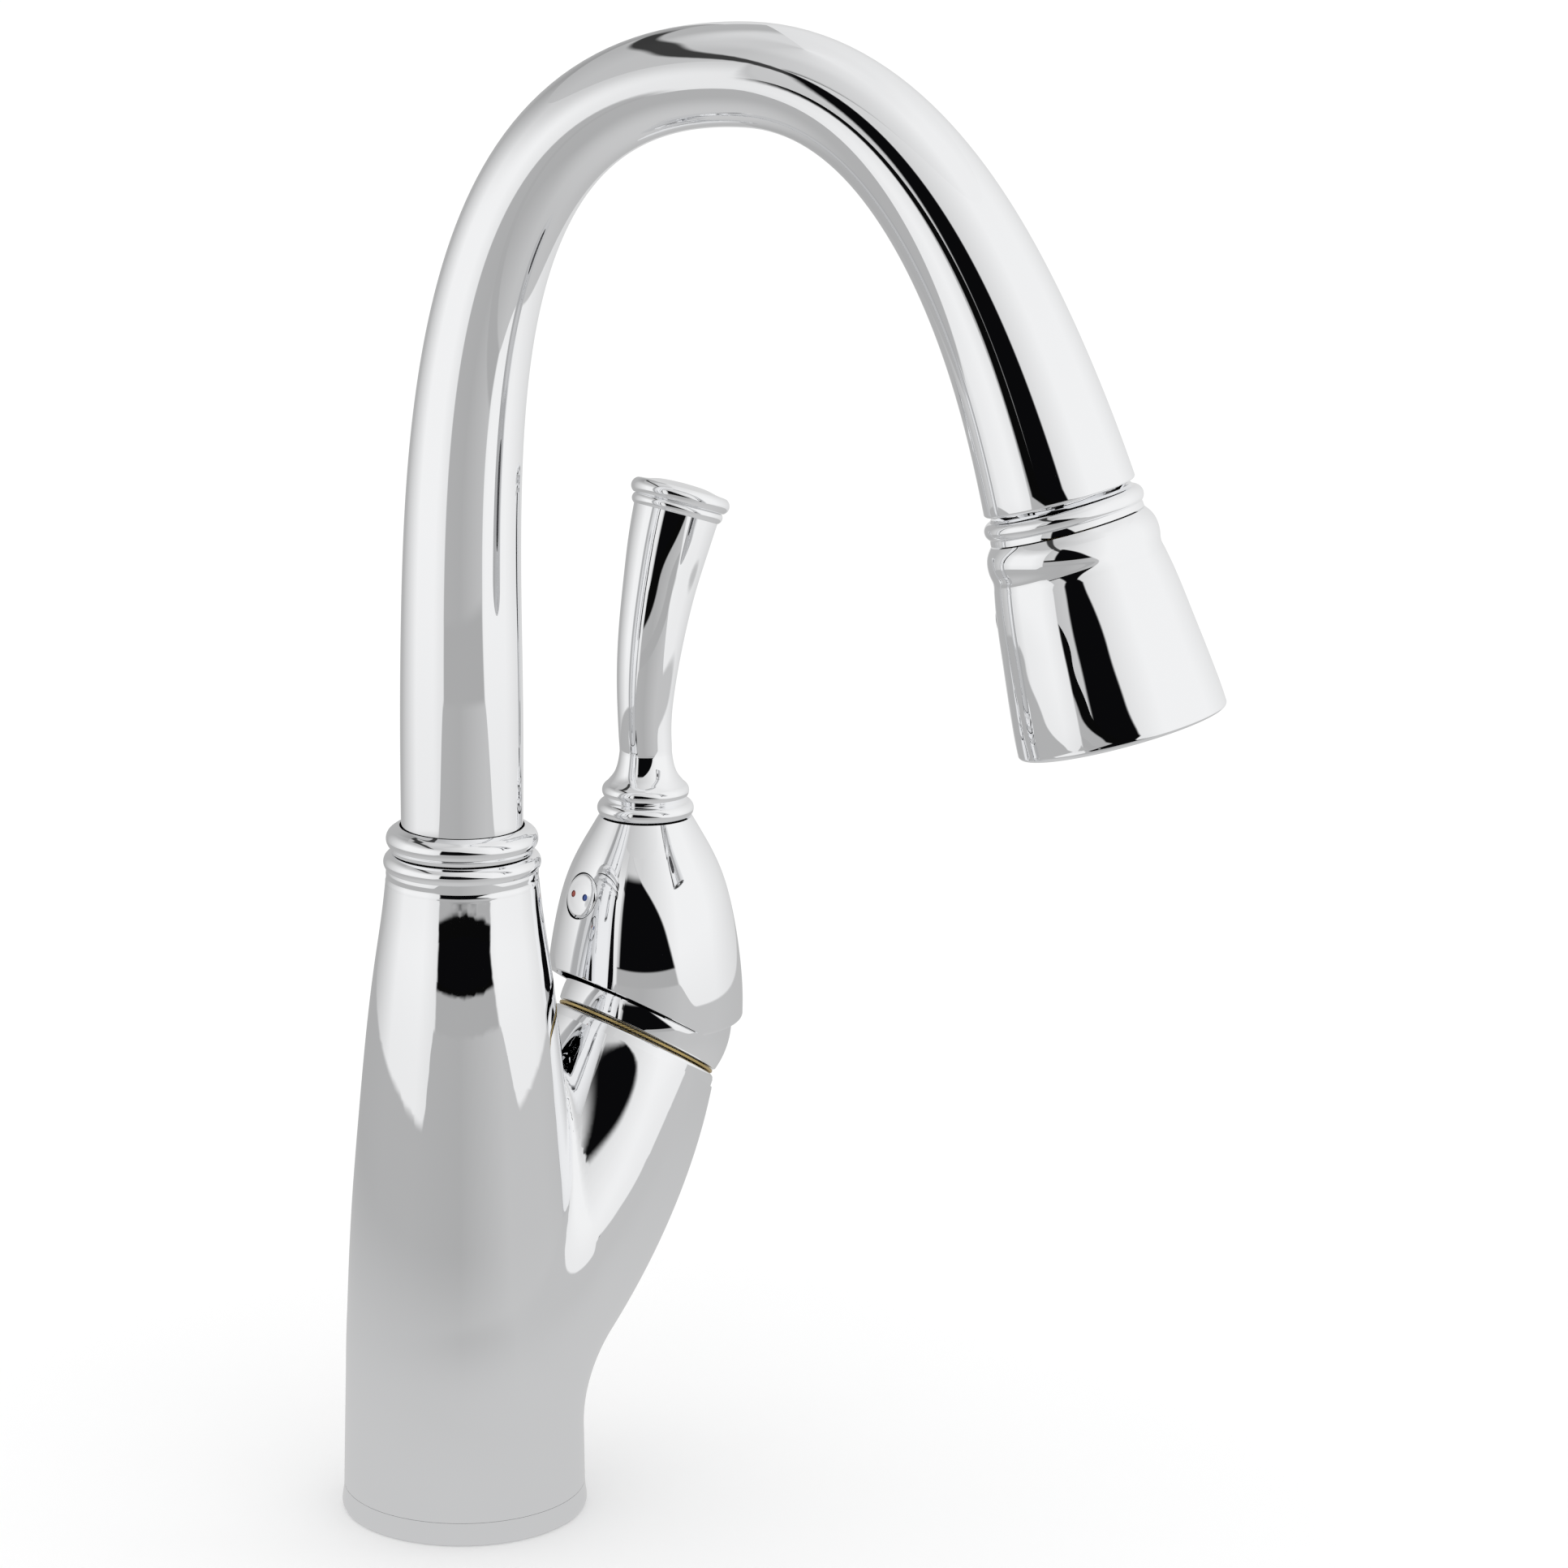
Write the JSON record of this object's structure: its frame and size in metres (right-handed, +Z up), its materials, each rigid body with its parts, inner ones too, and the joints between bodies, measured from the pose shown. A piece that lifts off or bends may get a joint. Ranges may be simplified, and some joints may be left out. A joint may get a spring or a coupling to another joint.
{
  "type": "pull-down bar faucet",
  "caption": "Deck-mounted pull-down faucet with a swivelling tapered gooseneck spout, a docking spray head and a tilted side lever valve.",
  "frame": {"origin": "centre of the base ring's underside, where it sits on the deck", "axes": "+Z up along the column, +X towards the valve branch and lever, -Y towards the user; the shank hangs below the deck on -Z"},
  "size_m": [0.1292, 0.168, 0.3899],
  "materials": {
    "polished_chrome": "mirror polished chrome plate",
    "raw_brass": "machined, unplated brass",
    "copper": "drawn copper tube",
    "zinc_steel": "zinc-plated steel",
    "black_rubber": "moulded black rubber",
    "grey_nylon": "braided nylon sleeve",
    "white_plastic": "moulded acetal",
    "dark_plastic": "moulded dark plastic",
    "ceramic": "lapped alumina ceramic",
    "red_enamel": "red enamel",
    "blue_enamel": "blue enamel"
  },
  "bodies": {
    "body": {"base_ring": "polished_chrome", "base_gasket": "black_rubber", "mounting_shank": "raw_brass", "deck_washer": "black_rubber", "steel_washer": "zinc_steel", "mounting_nut": "raw_brass", "body_casting": "polished_chrome", "inlet_tube_hot": "copper", "inlet_tube_cold": "copper", "outlet_tube": "copper", "hose_connector": "raw_brass", "thrust_washer": "white_plastic", "bonnet": "polished_chrome", "glide_ring": "raw_brass", "cartridge_housing": "white_plastic", "base_seal": "black_rubber", "fixed_disc": "ceramic", "limit_stop_ring": "red_enamel"},
    "spout": {"spout_tube": "polished_chrome", "spout_hub": "raw_brass", "hub_seal_upper": "black_rubber", "hub_seal_lower": "black_rubber", "collar_ring": "polished_chrome", "docking_sleeve": "dark_plastic", "spray_hose": "grey_nylon"},
    "wand": {"wand_collar": "polished_chrome", "wand_shell": "polished_chrome", "waterway_core": "white_plastic", "hose_ferrule": "raw_brass", "check_valve": "dark_plastic", "spray_face": "dark_plastic", "aerator": "polished_chrome", "nozzle_ring": "black_rubber"},
    "spray_button": {"spray_button": "dark_plastic", "diverter_spool": "white_plastic"},
    "temperature_carrier": {"cartridge_carrier": "dark_plastic", "moving_disc": "ceramic", "pivot_pin": "zinc_steel"},
    "handle": {"handle_bell": "polished_chrome", "lever_arm": "polished_chrome", "lever_cap": "polished_chrome", "index_button": "polished_chrome", "index_dot_hot": "red_enamel", "index_dot_cold": "blue_enamel", "handle_set_screw": "zinc_steel", "valve_stem": "zinc_steel"}
  },
  "joints": [
    {"name": "spout_swivel", "type": "hinge", "parent": "body", "child": "spout", "pos_m": [0, 0, 0.13], "axis": [0, 0, 1], "range_deg": [-105, 15]},
    {"name": "wand_pull", "type": "slide", "parent": "spout", "child": "wand", "axis": [0.1635, -0.2424, -0.9563], "range_m": [0, 0.16]},
    {"name": "spray_button_press", "type": "slide", "parent": "wand", "child": "spray_button", "axis": [0.5348, -0.7928, 0.2924], "range_m": [0, 0.002], "stiffness_N_per_m": 300},
    {"name": "handle_temperature", "type": "hinge", "parent": "body", "child": "temperature_carrier", "pos_m": [0.049, 0, 0.1029], "axis": [0.5225, 0, 0.8526], "range_deg": [-45, 45]},
    {"name": "handle_lift", "type": "hinge", "parent": "temperature_carrier", "child": "handle", "pos_m": [0.049, 0, 0.1029], "axis": [0, 1, 0], "range_deg": [0, 31]}
  ]
}
